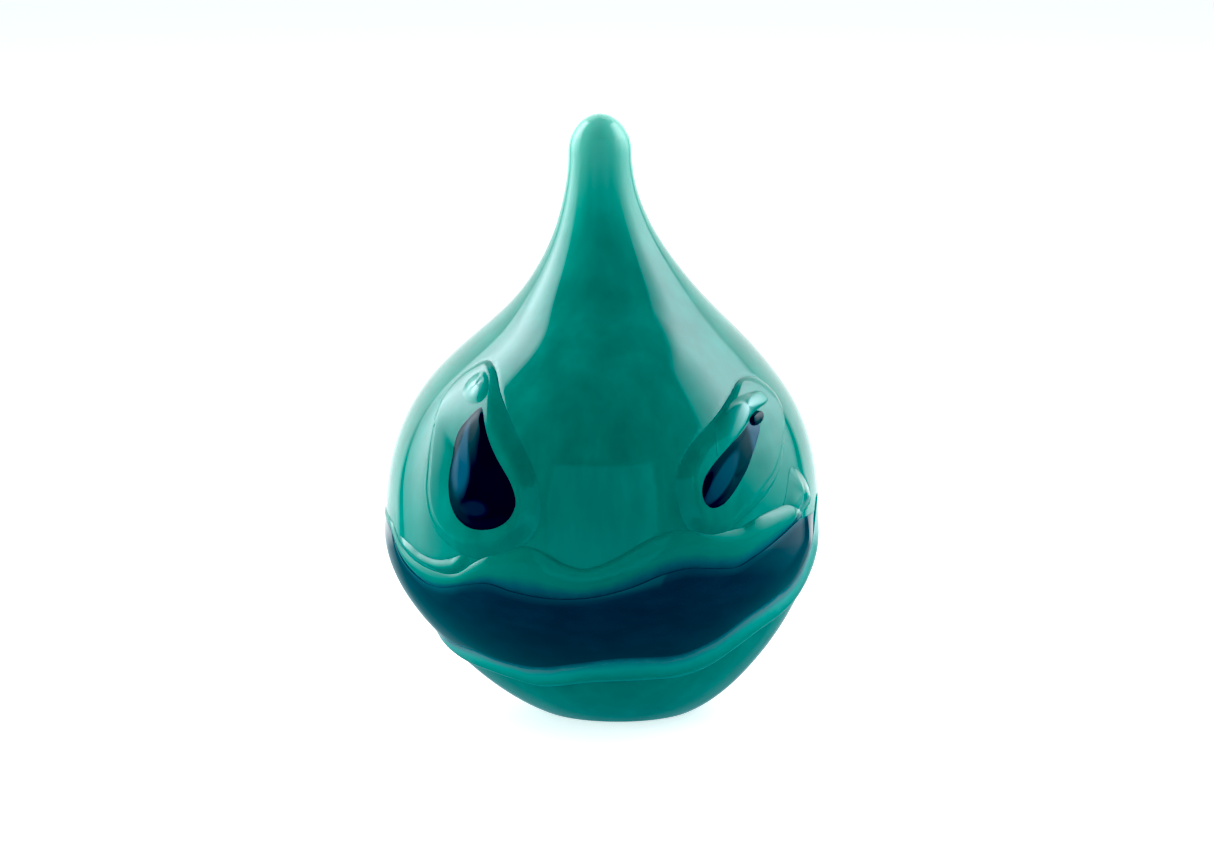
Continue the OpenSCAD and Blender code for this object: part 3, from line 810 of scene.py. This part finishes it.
def set_floor():
    """Opal acrylic lit from beneath, as for catalogue work; the drop shows no mirror image of it."""
    bpy.ops.mesh.primitive_circle_add(vertices=96, radius=2.5, fill_type="NGON")
    floor = bpy.context.object
    floor.name = "floor"
    material, tree = new_material("opal acrylic light table, matt")
    body = add(tree, "ShaderNodeBsdfPrincipled",
               {"Base Color": linear("#F2F4F4"), "Roughness": 0.9, "Specular IOR Level": 0.1,
                "Emission Color": linear("#F6FCFF"), "Emission Strength": 0.62})
    add(tree, "ShaderNodeOutputMaterial", links={"Surface": body.outputs["BSDF"]})
    floor.data.materials.append(material)
    floor.visible_glossy = floor.visible_diffuse = False


def panel_light(name, size, radiance, **pose):
    """A rectangular area light that gives off a radiance and doesn't show in the view."""
    bpy.ops.object.light_add(type="AREA", **pose)
    lamp = bpy.context.object
    lamp.name = name
    lamp.data.shape = "RECTANGLE"
    lamp.data.size, lamp.data.size_y = size
    lamp.data.energy = radiance * math.pi * size[0] * size[1]
    lamp.visible_camera = False
    return lamp


def set_softbox(name, at, lean, size, radiance):
    """A tall softbox that leans back beside the drop, brightest along its middle and fading to its edges."""
    lamp = panel_light(name, size, radiance, location=at)
    lamp.data.color = linear("#EEF5FF")[:3]
    side = 1 if at[0] > 0 else -1
    turn = Matrix.Rotation(math.radians(-lean), 3, "X") @ Matrix.Rotation(math.radians(90 * side), 3, "Z")
    lamp.rotation_euler = (turn @ Matrix.Rotation(math.radians(90), 3, "X")).to_euler()
    lamp.data.use_nodes = True
    tree = lamp.data.node_tree
    tree.nodes.clear()
    spot = add(tree, "ShaderNodeSeparateXYZ", links={0: add(tree, "ShaderNodeNewGeometry").outputs["Parametric"]})
    wide = add(tree, "ShaderNodeValToRGB", links={"Fac": spot.outputs["X"]}, stops=[
        (0.0, BLACK), (0.03, grey(0.22)), (0.2, grey(0.45)), (0.42, WHITE), (0.6, grey(0.85)),
        (0.9, grey(0.5)), (1.0, grey(0.1))]).outputs["Color"]
    tall = add(tree, "ShaderNodeValToRGB", links={"Fac": spot.outputs["Y"]}, stops=[
        (0.06, BLACK), (0.22, grey(0.14)), (0.34, grey(0.45)), (0.56, WHITE), (0.88, WHITE),
        (1.0, grey(0.2))]).outputs["Color"]
    both = add(tree, "ShaderNodeMath", {"operation": "MULTIPLY"}, {0: wide, 1: tall})
    glow = add(tree, "ShaderNodeEmission", links={"Strength": both.outputs["Value"]})
    add(tree, "ShaderNodeOutputLight", links={"Surface": glow.outputs["Emission"]})


def set_fill(name, az, radiance):
    """A soft fill at one side, which the gloss doesn't show."""
    away, high, turn = 0.7, 0.15, math.radians(az)
    fill = panel_light(name, (0.6, 0.3), radiance, rotation=(math.radians(90), 0, turn),
                       location=(away * math.sin(turn), -away * math.cos(turn), high))
    fill.visible_glossy = False


def set_room(scene):
    """The room that the gloss shows: a white wall behind that curves over, a dim card in front, and dimness."""
    world = bpy.data.worlds.new("studio")
    scene.world = world
    world.use_nodes = True
    tree = world.node_tree
    tree.nodes.clear()

    way = add(tree, "ShaderNodeTexCoord").outputs["Generated"]
    split = add(tree, "ShaderNodeSeparateXYZ", links={"Vector": way})
    flat = add(tree, "ShaderNodeCombineXYZ", links={"X": split.outputs["X"], "Y": split.outputs["Y"]})
    unit = add(tree, "ShaderNodeVectorMath", {"operation": "NORMALIZE"}, {0: flat.outputs["Vector"]})
    heading = add(tree, "ShaderNodeSeparateXYZ", links={"Vector": unit.outputs["Vector"]})
    ahead = add(tree, "ShaderNodeMath", {"operation": "MULTIPLY", 1: -1.0}, {0: heading.outputs["Y"]})
    sideways = add(tree, "ShaderNodeMath", {"operation": "ABSOLUTE"}, {0: heading.outputs["X"]})
    level = add(tree, "ShaderNodeMath", {"operation": "MULTIPLY_ADD", 1: 0.5, 2: 0.5}, {0: split.outputs["Z"]})
    level = level.outputs["Value"]
    # Each of these is 1 over its own stretch of the room and 0 elsewhere, and the last is the dim room's colour
    behind, curved, beside, high, fade, before, tall, dim = (
        add(tree, "ShaderNodeValToRGB", links={"Fac": source}, stops=stops).outputs["Color"]
        for source, stops in (
            (heading.outputs["Y"], [(0.72, BLACK), (0.78, WHITE)]),
            (heading.outputs["Y"], [(0.1, BLACK), (0.4, WHITE)]),
            (sideways.outputs["Value"], [(0.4, BLACK), (0.65, WHITE)]),
            (split.outputs["Z"], [(0.78, BLACK), (0.86, WHITE), (0.90, WHITE), (0.94, BLACK)]),
            (level, [(0.3, BLACK), (0.38, grey(0.2)), (0.42, WHITE), (0.9, WHITE), (0.95, BLACK)]),
            (ahead.outputs["Value"], [(0.865, BLACK), (0.885, WHITE)]),
            (level, [(0.25, BLACK), (0.32, WHITE), (0.735, WHITE), (0.75, BLACK)]),
            (level, [(0.4, (0.22, 0.40, 0.44, 1)), (0.5, (0.07, 0.08, 0.08, 1))])))
    # The wall stands behind the drop, and its sides curve over high up
    side = add(tree, "ShaderNodeMath", {"operation": "MULTIPLY"}, {0: curved, 1: beside})
    over = add(tree, "ShaderNodeMath", {"operation": "MULTIPLY"}, {0: side.outputs["Value"], 1: high})
    wall = add(tree, "ShaderNodeMath", {"operation": "MAXIMUM"}, {0: behind, 1: over.outputs["Value"]})
    wall = add(tree, "ShaderNodeMath", {"operation": "MULTIPLY"}, {0: wall.outputs["Value"], 1: fade})
    # The card fills the shade, and shows faintly in the belly between the eyes
    card = add(tree, "ShaderNodeMath", {"operation": "MULTIPLY"}, {0: before, 1: tall})
    wall, card = (add(tree, "ShaderNodeMath", {"operation": "MULTIPLY", 1: bright}, {0: lit.outputs["Value"]})
                  for lit, bright in ((wall, 1.4), (card, 0.6)))
    glow = add(tree, "ShaderNodeBackground", {"Color": linear("#FBFDFF")}, {"Strength": wall.outputs["Value"]})
    sheet = add(tree, "ShaderNodeBackground", {"Color": (0.4, 1, 1, 1)}, {"Strength": card.outputs["Value"]})
    room = add(tree, "ShaderNodeBackground", links={"Color": dim})
    both = add(tree, "ShaderNodeAddShader", links={0: glow.outputs["Background"], 1: room.outputs["Background"]})
    every = add(tree, "ShaderNodeAddShader", links={0: both.outputs["Shader"], 1: sheet.outputs["Background"]})
    add(tree, "ShaderNodeOutputWorld", links={"Surface": every.outputs["Shader"]})


def set_camera(scene):
    """A long lens a little above the drop, aimed at its middle."""
    middle = Vector((-1.5 * MM, 0, 39.6 * MM))
    distance, rise = 0.7009, math.radians(10)
    bpy.ops.object.camera_add(
        location=middle + Vector((0, -distance * math.cos(rise), distance * math.sin(rise))),
        rotation=(math.radians(80), 0, 0))
    camera = bpy.context.object
    camera.name = "camera"
    camera.data.lens = 150
    camera.data.sensor_width = 36
    camera.data.clip_start = 0.01
    scene.camera = camera


class GLASSDROP_OT_stage(bpy.types.Operator):
    """Set out a plain pale floor, soft studio light and the camera"""
    bl_idname = "glass_drop.stage"
    bl_label = "Stage"

    def execute(self, context):
        clear_selection()
        scene = context.scene
        set_floor()
        set_softbox("left softbox", (-0.36, 0.175, 0.21), 24, (0.41, 0.98), 8.2)
        set_softbox("right softbox", (0.36, 0.09, 0.25), 20, (0.54, 0.90), 6.2)
        set_fill("left fill", -76, 6.0)
        set_fill("right fill", 78, 3.8)
        set_room(scene)
        set_camera(scene)
        scene.view_settings.view_transform = "Standard"
        scene.view_settings.use_curve_mapping = True
        # Deepens the darks a little, most in the reds, as the studio's contrast does
        scene.view_settings.curve_mapping.black_level = (0.05, 0.012, 0.0)
        clear_selection()
        return {"FINISHED"}


OPERATORS = (GLASSDROP_OT_core, GLASSDROP_OT_mouth, GLASSDROP_OT_eye_pads, GLASSDROP_OT_pupils,
             GLASSDROP_OT_curls, GLASSDROP_OT_corners, GLASSDROP_OT_stage)


class GLASSDROP_PT_panel(bpy.types.Panel):
    """Lists the steps in the order that a maker takes them"""
    bl_idname = "GLASSDROP_PT_panel"
    bl_label = "Glass Drop"
    bl_space_type = "VIEW_3D"
    bl_region_type = "UI"
    bl_category = "Glass Drop"

    def draw(self, context):
        for group in (context.scene.glass_sizes, context.scene.glass_colours):
            for key in type(group).__annotations__:
                self.layout.prop(group, key)
        for operator in OPERATORS:
            self.layout.operator(operator.bl_idname)


CLASSES = (DropSizes, DropColours, *OPERATORS, GLASSDROP_PT_panel)


def register():
    """Adds the classes, and the settings to the scene."""
    for cls in CLASSES:
        bpy.utils.register_class(cls)
    bpy.types.Scene.glass_sizes = bpy.props.PointerProperty(type=DropSizes)
    bpy.types.Scene.glass_colours = bpy.props.PointerProperty(type=DropColours)


def unregister():
    """Takes the settings and the classes away again."""
    del bpy.types.Scene.glass_colours
    del bpy.types.Scene.glass_sizes
    for cls in reversed(CLASSES):
        bpy.utils.unregister_class(cls)


def main():
    """Makes every piece in order."""
    register()
    for operator in OPERATORS:
        group, name = operator.bl_idname.split(".")
        getattr(getattr(bpy.ops, group), name)()


if __name__ == "__main__":
    main()
